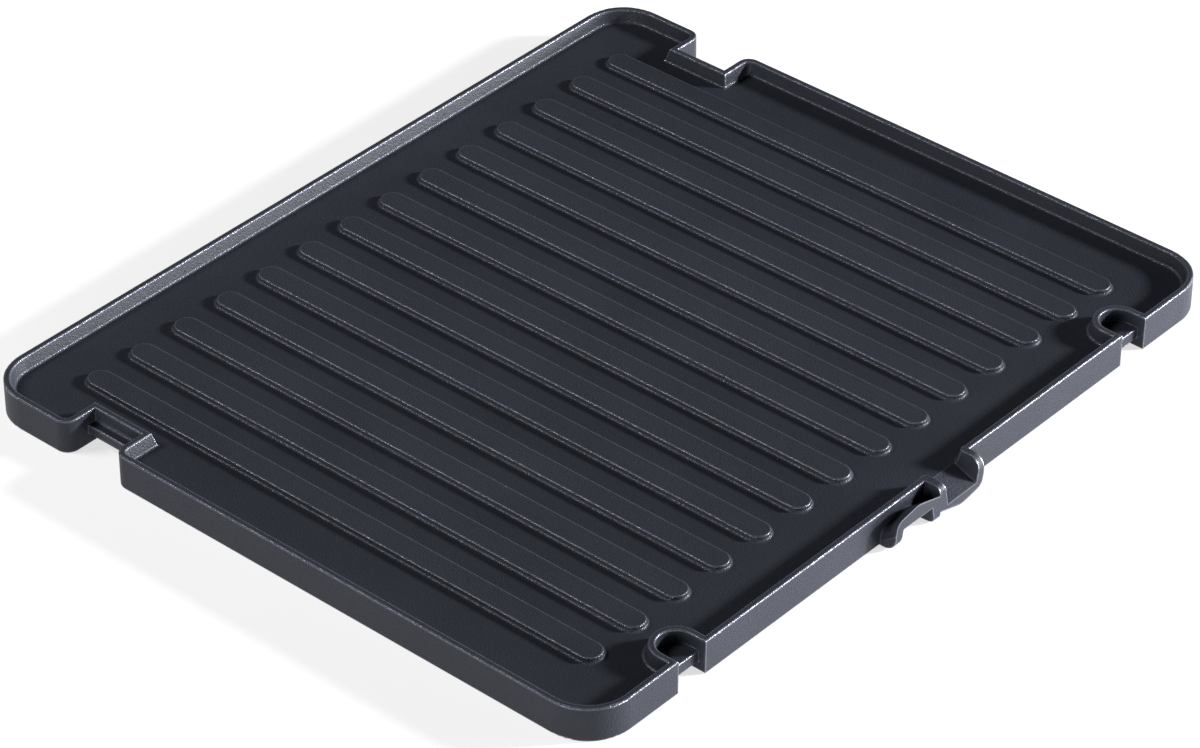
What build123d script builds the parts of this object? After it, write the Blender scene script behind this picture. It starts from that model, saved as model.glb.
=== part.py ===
from build123d import *
from math import radians, tan
import os

# Removable, reversible cooking plate of a contact grill: one aluminium casting.
# The ribbed face is up and the flat griddle face is down.
# Millimetres. X runs across the plate, Y from its front edge to its back, Z up.
# The origin is on the surface the plate stands on, under the middle of its bounding box.

# Plate, rim and floors
width = 300.2
depth = 251.4
height = 12.0
floor_height = 7.3
floor_thickness = 4.1
corner_radius = 16.0
rim_thickness = 2.1
wall_draft = 14.0
rim_edge_radius = 0.5
floor_fillet = 0.8

# Ribs of the upper face
rib_count = 14
rib_pitch = 18.9
rib_base_width = 9.0
rib_height = 1.6
rib_draft = 15.0
rib_front_end = 104.8
rib_back_end = 106.0
rib_edge_radius = 0.35
rib_foot_fillet = 0.9

# Side notches, into which the holders at the back of the appliance reach
notch_depth = 12.3
notch_width = 20.3
notch_middle = 78.0
notch_ledge = 3.4
notch_end_radius = 4.5
notch_root_radius = 0.8
ledge_top_radius = 0.4
ledge_under_radius = 1.6
ledge_root_cove = 1.0

# Front pockets, where the release catches of the appliance grip
pocket_offset = 107.1
pocket_radius = 6.05
pocket_depth = 12.1
pocket_ledge_setback = 2.7
pocket_mouth_radius = 2.2
inner_mouth_radius = 1.7

# Drain spout: one trough for each face, side by side, the second turned half round
spout_reach = 6.0
spout_middle = 1.15
spout_wall_half = 0.25
trough_near_wall = 3.8
trough_far_wall = 17.8
trough_wall_lean = 0.2
trough_drop = 3.5
trough_run = 8.75
trough_mouth_radius = 1.8
belly_near_drop = 3.2
belly_low = 10.6
belly_low_drop = 6.1
belly_heel = 20.6
belly_heel_drop = 4.4
belly_far = 21.4
belly_radius = 8.0
heel_radius = 3.2
under_slope = 0.78
outer_wall_round = 4.5
middle_wall_round = 2.3

mid_height = height / 2
lower_floor = floor_height - floor_thickness
front = -depth / 2
notch_wall = width / 2 - notch_depth
pocket_centre = front + pocket_depth - pocket_radius
rim_lean = tan(radians(wall_draft))

# The plate is centred in X. The spout moves the middle of the bounding box forward in Y.
centre = Plane((0, spout_reach / 2, 0))
spout_face = centre.origin.Y + front - spout_reach


def spout_plane(side):
    """Upright plane on the spout's front face. Side -1 is turned half round about its middle."""
    return Plane((spout_middle, spout_face, mid_height), x_dir=(side, 0, 0), z_dir=(0, -1, 0))


def floor_level(side):
    """Height of a face's floor above the middle of the rim, seen with that face up."""
    return floor_height - mid_height if side > 0 else mid_height - lower_floor


def plate_outline(inset, end_radius, root_radius, mouth_radius):
    """Plan outline of the rim, moved inwards by inset, with its notches and front pockets."""
    end_side = width / 2 - inset
    with BuildSketch() as outline:
        RectangleRounded(width - 2 * inset, depth - 2 * inset, corner_radius - inset)
        with Locations((-width / 2, notch_middle), (width / 2, notch_middle)):
            Rectangle(2 * (notch_depth + inset), notch_width + 2 * inset, mode=Mode.SUBTRACT)
        with Locations((-pocket_offset, pocket_centre), (pocket_offset, pocket_centre)):
            Circle(pocket_radius + inset, mode=Mode.SUBTRACT)
            Rectangle(2 * (pocket_radius + inset), 2 * (pocket_depth - pocket_radius),
                      align=(Align.CENTER, Align.MAX), mode=Mode.SUBTRACT)
        corners = outline.vertices().filter_by(
            lambda v: abs(abs(v.Y - notch_middle) - notch_width / 2 - inset) < rim_edge_radius)
        ends = corners.filter_by(lambda v: abs(v.X) > end_side - notch_depth / 2)
        roots = corners.filter_by(lambda v: abs(v.X) < end_side - notch_depth / 2)
        mouths = outline.vertices().group_by(Axis.Y)[0].filter_by(
            lambda v: abs(abs(v.X) - pocket_offset) < 2 * pocket_radius)
        fillet(ends, end_radius)
        fillet(roots, root_radius)
        fillet(mouths, mouth_radius)
    return outline.sketch


def tray_outline():
    """Plan outline of a tray at the rim's edge, inside the rim wall."""
    return plate_outline(rim_thickness, notch_end_radius - rim_thickness,
                         notch_root_radius + rim_thickness, inner_mouth_radius)


# The spout is a block across the front, cut below each trough and rounded at its walls.
with BuildPart() as spout:
    with BuildSketch(spout_plane(1)):
        Rectangle(2 * belly_far, height)
    extrude(amount=-spout_reach - rim_thickness)
    for side in (1, -1):
        with BuildSketch(spout_plane(side)):
            with BuildLine():
                FilletPolyline((spout_wall_half, -belly_near_drop), (belly_low, -belly_low_drop),
                               (belly_heel, -belly_heel_drop), (belly_far, 0),
                               radius=(belly_radius, heel_radius))
                Polyline((belly_far, 0), (2 * belly_far, 0), (2 * belly_far, -2 * height),
                         (spout_wall_half, -2 * height), (spout_wall_half, -belly_near_drop))
            make_face()
        extrude(amount=2 * spout_reach, dir=(0, 1, side * under_slope), mode=Mode.SUBTRACT)
        for near, far, radius in ((-spout_wall_half, trough_near_wall, middle_wall_round),
                                  (trough_near_wall, belly_far, outer_wall_round)):
            wall_end = Plane((spout_middle + side * near, spout_face, mid_height),
                             x_dir=(0, 1, 0), z_dir=(side, 0, 0))
            with BuildSketch(wall_end):
                with Locations((0, mid_height)):
                    Rectangle(radius, radius, align=(Align.MIN, Align.MAX))
                with Locations((radius, mid_height - radius)):
                    Circle(radius, mode=Mode.SUBTRACT)
            extrude(amount=far - near, mode=Mode.SUBTRACT)

with BuildPart() as grill_plate:
    with BuildSketch(centre):
        add(plate_outline(0, notch_end_radius, notch_root_radius, pocket_mouth_radius))
    extrude(amount=height)
    for level, tray_depth in ((height, floor_height - height), (0, lower_floor)):
        with BuildSketch(centre.offset(level)):
            add(tray_outline())
        extrude(amount=tray_depth, taper=wall_draft, mode=Mode.SUBTRACT)
    for level in (floor_height, lower_floor):
        fillet(grill_plate.edges().filter_by_position(Axis.Z, level, level), floor_fillet)
    for level in (height, 0):
        fillet(grill_plate.edges().filter_by_position(Axis.Z, level, level), rim_edge_radius)

    # The floor runs on into the notches and pockets as ledges, which the appliance holds.
    for side in (-1, 1):
        with BuildSketch(centre.offset(lower_floor)):
            with Locations((side * notch_wall, notch_middle)):
                Rectangle(2 * notch_ledge, notch_width + 2 * rim_edge_radius)
            with Locations((side * pocket_offset, pocket_centre)):
                Circle(pocket_radius + rim_edge_radius)
            with Locations((side * pocket_offset, front + pocket_ledge_setback)):
                Rectangle(2 * (pocket_radius + rim_edge_radius),
                          pocket_depth - pocket_radius - pocket_ledge_setback, align=(Align.CENTER, Align.MIN))
                Rectangle(2 * (pocket_radius + rim_edge_radius), pocket_radius,
                          align=(Align.CENTER, Align.MAX), mode=Mode.SUBTRACT)
        extrude(amount=floor_thickness)
    ledge_edges = grill_plate.edges().filter_by(Axis.Y).filter_by(
        lambda e: abs(abs(e.center().X) - notch_wall - notch_ledge) < rim_edge_radius)
    fillet(ledge_edges.group_by(Axis.Z)[0], ledge_under_radius)
    fillet(ledge_edges.group_by(Axis.Z)[-1], ledge_top_radius)
    ledge_front = centre.origin.Y + front + pocket_ledge_setback
    for level in (floor_height, lower_floor):
        fillet(grill_plate.edges().filter_by(Axis.X).filter_by_position(Axis.Z, level, level).filter_by(
            lambda e: abs(e.center().Y - ledge_front) < rim_edge_radius), ledge_top_radius)

    # A cove joins each notch ledge to the wall above and below it.
    for side in (-1, 1):
        for level, up in ((floor_height, 1), (lower_floor, -1)):
            cove = Plane((side * notch_wall, centre.origin.Y + notch_middle, level),
                         x_dir=(side, 0, 0), z_dir=(0, -side * up, 0))
            with BuildSketch(cove):
                Rectangle(ledge_root_cove, ledge_root_cove, align=(Align.MIN, Align.MIN))
                with Locations((ledge_root_cove, ledge_root_cove)):
                    Circle(ledge_root_cove, mode=Mode.SUBTRACT)
            extrude(amount=notch_width / 2, both=True)

    # Each trough cuts through the rim, slopes away from its floor and opens into it round the corners.
    add(spout)
    for side in (1, -1):
        level = floor_level(side)
        ramp = Vector(0, trough_run, side * trough_drop)
        for distance, drop, run in ((0, trough_drop, ramp), (trough_run, 0, Vector(0, 2 * floor_fillet, 0))):
            with BuildSketch(spout_plane(side).offset(-distance)):
                Polygon((trough_near_wall, level - drop), (trough_far_wall, level - drop),
                        (trough_far_wall + trough_wall_lean * height, level - drop + height),
                        (trough_near_wall - trough_wall_lean * height, level - drop + height), align=None)
            extrude(amount=run.length, dir=run, mode=Mode.SUBTRACT)
        inner_face = spout_reach + rim_thickness + (mid_height - level) * rim_lean
        seen_from_above = Plane((spout_middle, spout_face, mid_height),
                                x_dir=(side, 0, 0), z_dir=(0, 0, side))
        for hand, wall in ((-1, trough_near_wall), (1, trough_far_wall)):
            with BuildSketch(seen_from_above.offset(level)):
                with Locations((wall + hand * trough_mouth_radius / 2, inner_face)):
                    Rectangle(trough_mouth_radius, 2 * trough_mouth_radius)
                with Locations((wall + hand * trough_mouth_radius, inner_face - trough_mouth_radius)):
                    Circle(trough_mouth_radius, mode=Mode.SUBTRACT)
            corner = Vector(side * hand * trough_wall_lean, -rim_lean, side)
            extrude(amount=height * corner.length, dir=corner, mode=Mode.SUBTRACT)

    # Ribs
    rib_top = floor_height + rib_height
    with BuildSketch(centre.offset(floor_height)):
        with Locations((0, (rib_back_end - rib_front_end) / 2)):
            with GridLocations(rib_pitch, 0, rib_count, 1):
                SlotOverall(rib_front_end + rib_back_end, rib_base_width, rotation=90)
    extrude(amount=rib_height, taper=rib_draft)
    fillet(grill_plate.edges().filter_by_position(Axis.Z, rib_top, rib_top), rib_edge_radius)
    rib_feet = grill_plate.edges().filter_by_position(Axis.Z, floor_height, floor_height).filter_by(
        lambda e: abs(e.center().Y - centre.origin.Y) < rib_back_end + rib_foot_fillet
        and abs(e.center().X) < rib_pitch * rib_count / 2)
    fillet(rib_feet, rib_foot_fillet)

os.makedirs("parts", exist_ok=True)
grill_plate.part.label = "grill_plate"
export_step(grill_plate.part, "parts/grill_plate.step")
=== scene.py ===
# %% [markdown]
# # A grill plate on a pale table
# A contact grill cooks food between two cast plates that clip in and out. This lesson dresses one of them,
# ribbed face up, and lights it so that its dark coating reads as metal with a thin skin rather than as
# black plastic. Every length below is in metres and every angle in degrees, unless a name says millimetres.

# %% Load the plate
import bpy
import math
from mathutils import Matrix, Vector


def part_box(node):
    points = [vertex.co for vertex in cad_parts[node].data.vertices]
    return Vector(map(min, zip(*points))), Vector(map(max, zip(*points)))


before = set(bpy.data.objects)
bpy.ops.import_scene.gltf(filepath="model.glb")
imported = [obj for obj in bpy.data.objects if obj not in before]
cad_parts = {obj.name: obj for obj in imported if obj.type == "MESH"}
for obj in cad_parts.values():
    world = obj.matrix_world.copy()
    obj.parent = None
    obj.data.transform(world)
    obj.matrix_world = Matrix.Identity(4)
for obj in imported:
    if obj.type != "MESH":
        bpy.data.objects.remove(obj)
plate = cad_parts["grill_plate"]
plate_low, plate_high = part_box("grill_plate")
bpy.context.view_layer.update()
mm = 0.001
print("plate size in mm:", [round((b - a) / mm, 1) for a, b in zip(plate_low, plate_high)])

# %% [markdown]
# ## The camera
# The photograph was taken with a long lens from in front, to the left and above: the plate's far edges
# hardly get shorter. A camera is easiest to place by what it looks at, from which direction and how far
# away. The direction is turned into three axes, right, up and back, which are the columns of the camera's
# matrix. The lamps are aimed in the same way later.

# %% Directions around the plate


def direction(azimuth, elevation):
    """Unit vector at an angle to the left (minus) or right (plus) of the plate's front, and up."""
    turn, lift = math.radians(azimuth), math.radians(elevation)
    return Vector((math.sin(turn) * math.cos(lift), -math.cos(turn) * math.cos(lift), math.sin(lift)))


def aim(thing, place, target, roll=0.0):
    """Puts a camera or a light at a place, with its front towards a target."""
    back = (place - target).normalized()
    right = Vector((0, 0, 1)).cross(back).normalized()
    up = back.cross(right)
    tilt = math.radians(roll)
    across = right * math.cos(tilt) + up * math.sin(tilt)
    above = up * math.cos(tilt) - right * math.sin(tilt)
    turned = Matrix((across, above, back)).transposed().to_4x4()
    turned.translation = place
    thing.matrix_world = turned


print("straight in front of the plate is", tuple(direction(0, 0)))

# %% Place the camera
look_at = Vector((-17.87, -9.45, 7.6)) * mm
camera_azimuth = -48.884
camera_elevation = 35.889
camera_roll = 0.135
camera_distance = 1492.2 * mm
focal_length_mm = 143.99
sensor_width_mm = 36.0
far_clip = 20.0

camera = bpy.data.objects.new("camera", bpy.data.cameras.new("camera"))
bpy.context.scene.collection.objects.link(camera)
camera.data.lens = focal_length_mm
camera.data.sensor_width = sensor_width_mm
camera.data.clip_end = far_clip
aim(camera, look_at + direction(camera_azimuth, camera_elevation) * camera_distance, look_at, camera_roll)
bpy.context.scene.camera = camera
print("camera at", [round(c, 3) for c in camera.location])

# %% [markdown]
# ## Helpers for node trees
# A material is a small graph. One helper adds a node, sets its properties and fills its sockets, where a
# value that is a socket becomes a link. The recipes below then read like the sentences that describe them.
# A Mix node has a socket of the same name for numbers and for colours and hides those that it doesn't use,
# so sockets are looked up among the ones in use.

# %% Helpers that build a material


def in_use(sockets, name):
    """The socket of this name that the node uses."""
    return next(socket for socket in sockets if socket.enabled and socket.name == name)


def add_node(tree, kind, inputs=None, **settings):
    """Adds a shader node. A number names a socket by its place, for nodes whose sockets share a name."""
    node = tree.nodes.new("ShaderNode" + kind)
    for name, value in settings.items():
        setattr(node, name, value)
    for name, value in (inputs or {}).items():
        socket = node.inputs[name] if isinstance(name, int) else in_use(node.inputs, name)
        if isinstance(value, bpy.types.NodeSocket):
            tree.links.new(value, socket)
        else:
            socket.default_value = value
    return node


def new_material(name):
    material = bpy.data.materials.new(name)
    material.use_nodes = True
    material.node_tree.nodes.clear()
    return material, material.node_tree


def seen_ray(tree):
    """1 for a ray of the camera, of a reflection or through glass, 0 for one that lights a surface."""
    path = add_node(tree, "LightPath")
    mirror = add_node(tree, "Math", {0: path.outputs["Is Camera Ray"], 1: path.outputs["Is Glossy Ray"]},
                      operation="MAXIMUM")
    seen = add_node(tree, "Math", {0: mirror.outputs[0], 1: path.outputs["Is Transmission Ray"]},
                    operation="MAXIMUM")
    return seen.outputs[0]


print("helpers:", ", ".join(helper.__name__ for helper in (in_use, add_node, new_material, seen_ray)))

# %% [markdown]
# ## The table
# The photograph's background is white, yet the plate must still stand on something and throw a shadow.
# Turning the lamps up until the table burns out would spoil the plate too. Instead the table is plain pale
# paint for the light that falls on it. The camera and the reflections see a glow with a thinner paint over
# it, which together come to white in the open and to a pale grey where the plate shades the table.

# %% The table's paint
table_paint = (0.8, 0.8, 0.8, 1.0)
thin_paint = (0.42, 0.42, 0.42, 1.0)
white = (1.0, 1.0, 1.0, 1.0)
table_glow = 0.68

table_material, tree = new_material("pale_table")
paint = add_node(tree, "BsdfDiffuse", {"Color": table_paint})
thin = add_node(tree, "BsdfDiffuse", {"Color": thin_paint})
glow = add_node(tree, "Emission", {"Color": white, "Strength": table_glow})
shown = add_node(tree, "AddShader", {0: thin.outputs[0], 1: glow.outputs[0]})
mix = add_node(tree, "MixShader", {0: seen_ray(tree), 1: paint.outputs[0], 2: shown.outputs[0]})
add_node(tree, "OutputMaterial", {"Surface": mix.outputs[0]})
print("the table's paint has", len(tree.nodes), "nodes")

# %% The table
table_reach = 4.0
corners = [(-table_reach, -table_reach, 0), (table_reach, -table_reach, 0),
           (table_reach, table_reach, 0), (-table_reach, table_reach, 0)]
table_mesh = bpy.data.meshes.new("table")
table_mesh.from_pydata(corners, [], [(0, 1, 2, 3)])
table = bpy.data.objects.new("table", table_mesh)
table.data.materials.append(table_material)
bpy.context.scene.collection.objects.link(table)
print("table reaches", table_reach, "m each way")

# %% [markdown]
# ## The room
# The room itself gives no light, so the lamps alone decide the shading. The camera sees it white. A mirror
# sees a white horizon that fades upwards, as the far end of a light tent does: walls and rounded edges pick
# up that bright band. From the camera the flat faces mirror the dark upper part and stay dark. From low
# down behind the plate they mirror the main lamp instead, and turn pale.

# %% The room around the table
world = bpy.data.worlds.new("studio")
bpy.context.scene.world = world
world.use_nodes = True
tree = world.node_tree
tree.nodes.clear()
horizon_fade = 0.25
toward = add_node(tree, "TexCoord")
height = add_node(tree, "SeparateXYZ", {"Vector": toward.outputs["Generated"]})
horizon = add_node(tree, "MapRange", {"Value": height.outputs["Z"],
                                      "From Min": 0.0, "From Max": horizon_fade,
                                      "To Min": 1.0, "To Max": 0.0}, interpolation_type="SMOOTHSTEP")
path = add_node(tree, "LightPath")
dark_room = add_node(tree, "Background", {"Color": white, "Strength": 0.0})
mirrored = add_node(tree, "Background", {"Color": white, "Strength": horizon.outputs["Result"]})
backdrop = add_node(tree, "Background", {"Color": white, "Strength": 1.0})
for_mirrors = add_node(tree, "MixShader", {0: seen_ray(tree), 1: dark_room.outputs[0],
                                           2: mirrored.outputs[0]})
for_camera = add_node(tree, "MixShader", {0: path.outputs["Is Camera Ray"], 1: for_mirrors.outputs[0],
                                          2: backdrop.outputs[0]})
add_node(tree, "OutputWorld", {"Surface": for_camera.outputs[0]})
print("the horizon fades over", round(math.degrees(math.asin(horizon_fade)), 1), "degrees")

# %% [markdown]
# ## The lamps
# Shadows tell where the lamps stand. Behind the front rim and beside the right rim the shadow is twice as
# wide as the rim is deep, so the main lamp stands to the front right, less than 20 degrees up, and the
# shadow's soft edge gives its size. Walls that face the front are five times as bright as the floor, which
# takes a long lamp that almost grazes the plate. Another low one lights the left wall. A soft box behind on
# the left draws the thin bright lines along the ribs' left edges.

# %% Soft boxes
lamps = {
    "key": {"azimuth": 44.6, "elevation": 18.4, "distance": 2.2, "size": (0.25, 0.25), "watts": 100},
    "front right": {"azimuth": 45, "elevation": 2.6, "distance": 2.0, "size": (1.2, 0.2), "watts": 90},
    "left": {"azimuth": -68, "elevation": 6, "distance": 2.0, "size": (1.6, 0.4), "watts": 21},
    "back left": {"azimuth": -138, "elevation": 44, "distance": 2.0, "size": (0.7, 0.7), "watts": 23},
}
for name, lamp in lamps.items():
    light = bpy.data.lights.new(name, "AREA")
    light.shape = "RECTANGLE"
    light.size, light.size_y = lamp["size"]
    light.energy = lamp["watts"]
    soft_box = bpy.data.objects.new(name, light)
    bpy.context.scene.collection.objects.link(soft_box)
    aim(soft_box, direction(lamp["azimuth"], lamp["elevation"]) * lamp["distance"], Vector((0, 0, 0)))
print("lamps:", ", ".join(lamps))

# %% [markdown]
# ## Painted highlights along the edges
# The casting is sprayed with a dark non-stick coat and baked. Its rounded edges get a painted highlight:
# a paler, metallic and smoother skin that mirrors the lamps in fine broken bright lines.
#
# Edges could be painted by hand or found from the mesh's curvature. A mesh from CAD has points only along
# its edges, so curvature stored at its points says little. The Bevel node works without them: it looks a
# little way around each place, and where the softened normal that it returns leans away from the true one,
# there is an edge. The lean is measured as the dot product of the two normals, which is 1 on a flat face. A
# noise then breaks the line up.

# %% A group that finds the edges
flat_lean = 0.999
edge_lean = 0.982
break_size = 1.4 * mm
bevel_samples = 6


def new_group(name, inputs, outputs):
    """A shader node group. Inputs are (name, kind, default), outputs are (name, kind)."""
    group = bpy.data.node_groups.new(name, "ShaderNodeTree")
    for title, kind, value in inputs:
        socket = group.interface.new_socket(title, in_out="INPUT", socket_type="NodeSocket" + kind)
        socket.default_value = value
    for title, kind in outputs:
        group.interface.new_socket(title, in_out="OUTPUT", socket_type="NodeSocket" + kind)
    return group, group.nodes.new("NodeGroupInput").outputs


# This group's mask marks where a painted highlight goes: the rounded edges, broken up by a noise.
edge_group, given = new_group("edge_highlight_paint", [("Width", "Float", 0.6 * mm), ("Ragged", "Float", 0.5)],
                              [("Mask", "Float")])
around = add_node(edge_group, "Bevel", {"Radius": given["Width"]}, samples=bevel_samples)
surface = add_node(edge_group, "NewGeometry")
lean = add_node(edge_group, "VectorMath", {0: around.outputs["Normal"], 1: surface.outputs["Normal"]},
                operation="DOT_PRODUCT")
edge = add_node(edge_group, "MapRange", {"Value": lean.outputs["Value"], "From Min": flat_lean,
                                         "From Max": edge_lean, "To Min": 0.0, "To Max": 1.0})
spot = add_node(edge_group, "TexCoord")
line_breaks = add_node(edge_group, "TexNoise", {"Vector": spot.outputs["Object"], "Scale": 1.0 / break_size,
                                          "Detail": 2.0})
broken_share = add_node(edge_group, "Math", {0: line_breaks.outputs["Fac"], 1: given["Ragged"]}, operation="MULTIPLY")
kept = add_node(edge_group, "Math", {0: 1.0, 1: broken_share.outputs[0]}, operation="SUBTRACT")
mask = add_node(edge_group, "Math", {0: edge.outputs["Result"], 1: kept.outputs[0]}, operation="MULTIPLY")
out = edge_group.nodes.new("NodeGroupOutput")
edge_group.links.new(mask.outputs[0], out.inputs["Mask"])
print("group", edge_group.name, "has", len(edge_group.nodes), "nodes")

# %% [markdown]
# ## The coating's colour
# The coat is a very dark blue grey and faintly cloudy, because the spray is never quite even. A soft noise,
# with clouds as wide as two ribs and their gaps, moves it between two close shades. At the rounded edges it
# turns into a paler metal colour, a painted highlight that makes the edges mirror the lamps.

# %% Colour, clouds and painted edge highlights
coat_colour = (0.0240, 0.0265, 0.0358, 1.0)
pale_coat = (0.0270, 0.0297, 0.0398, 1.0)
# The next colour is a painted highlight: a pale metal colour for the rounded edges, so they mirror the
# lamps as bright lines.
edge_highlight_colour = (0.27, 0.285, 0.345, 1.0)
cloud_size = 35 * mm
dark_cloud, pale_cloud = 0.35, 0.65
highlight_width = 0.6 * mm
highlight_ragged = 0.55

coating, tree = new_material("coated_aluminium")
place = add_node(tree, "TexCoord")
edges = add_node(tree, "Group", node_tree=edge_group)
edges.inputs["Width"].default_value = highlight_width
edges.inputs["Ragged"].default_value = highlight_ragged

cloud = add_node(tree, "TexNoise", {"Vector": place.outputs["Object"],
                                    "Scale": 1.0 / cloud_size, "Detail": 3.0})
tint = add_node(tree, "ValToRGB", {"Fac": cloud.outputs["Fac"]})
dark_end, pale_end = tint.color_ramp.elements
dark_end.position, pale_end.position = dark_cloud, pale_cloud
dark_end.color, pale_end.color = coat_colour, pale_coat
# Mixing in the edge colour paints a highlight along the rounded edges.
edge_highlight_tint = add_node(tree, "Mix", {"Factor": edges.outputs["Mask"], "A": tint.outputs["Color"], "B": edge_highlight_colour},
                data_type="RGBA")
print("clouds are", round(cloud_size / mm), "mm wide, worn edges", round(highlight_width / mm, 1), "mm")

# %% [markdown]
# ## The grain
# Close up the coat is rough like fine orange peel. That grain is a heightfield, not a colour: a noise at
# half a millimetre tilts the skin by a few degrees, so it shows only where a lamp grazes or mirrors. The
# flakes in the spray are cells of a Voronoi pattern, of which only the few with the highest random value
# are raised.

# %% Grain and flakes
grain_size = 0.55 * mm
grain_depth = 0.2 * mm
flake_size = 0.45 * mm
flake_share = 0.035

grain = add_node(tree, "TexNoise", {"Vector": place.outputs["Object"],
                                    "Scale": 1.0 / grain_size, "Detail": 2.0})
cells = add_node(tree, "TexVoronoi", {"Vector": place.outputs["Object"], "Scale": 1.0 / flake_size})
rare = add_node(tree, "SeparateColor", {"Color": cells.outputs["Color"]})
flakes = add_node(tree, "MapRange", {"Value": rare.outputs["Red"],
                                     "From Min": 1.0 - flake_share, "From Max": 1.0,
                                     "To Min": 0.0, "To Max": 1.0})
dome = add_node(tree, "Math", {0: 1.0, 1: cells.outputs["Distance"]}, operation="SUBTRACT")
bumps = add_node(tree, "Math", {0: flakes.outputs["Result"], 1: dome.outputs[0]}, operation="MULTIPLY")
skin_height = add_node(tree, "Math", {0: grain.outputs["Fac"], 1: bumps.outputs[0]}, operation="ADD")
bump = add_node(tree, "Bump", {"Height": skin_height.outputs[0], "Strength": 1.0, "Distance": grain_depth})
print("grain", round(grain_size / mm, 2), "mm, one cell in", round(1 / flake_share), "is a flake")

# %% [markdown]
# ## The skin
# One Principled shader joins it all. The coat is satin and mirrors little. Where the edge mask is 1, the
# shader is metal, which has no diffuse colour and a smoother face: it stays dark beside the lamps and
# flashes where it mirrors one. That is what makes the painted edge highlight a thin bright line and not a
# pale stripe.

# %% The shader and its place on the plate
cloudy_span = (0.3, 0.7)
satin_roughness = (0.42, 0.48)
edge_roughness = 0.24
coat_mirror = 0.16

satin = add_node(tree, "MapRange", {"Value": cloud.outputs["Fac"],
                                    "From Min": cloudy_span[0], "From Max": cloudy_span[1],
                                    "To Min": satin_roughness[0], "To Max": satin_roughness[1]})
# At the edges the skin turns smoother and metallic, which belongs to the painted highlight.
edge_smoothing = add_node(tree, "Mix", {"Factor": edges.outputs["Mask"], "A": satin.outputs["Result"],
                                "B": edge_roughness}, data_type="FLOAT")
skin = add_node(tree, "BsdfPrincipled", {"Base Color": in_use(edge_highlight_tint.outputs, "Result"),
                                         "Metallic": edges.outputs["Mask"],
                                         "Roughness": in_use(edge_smoothing.outputs, "Result"),
                                         "Specular IOR Level": coat_mirror,
                                         "Normal": bump.outputs["Normal"]})
add_node(tree, "OutputMaterial", {"Surface": skin.outputs[0]})
plate.material_slots[0].material = coating
print("coating on", plate.name, "has", len(tree.nodes), "nodes")

# %% [markdown]
# ## Handing over
# Standard colour management shows each colour about as it is written.

# %% Colour management
bpy.context.scene.view_settings.view_transform = "Standard"
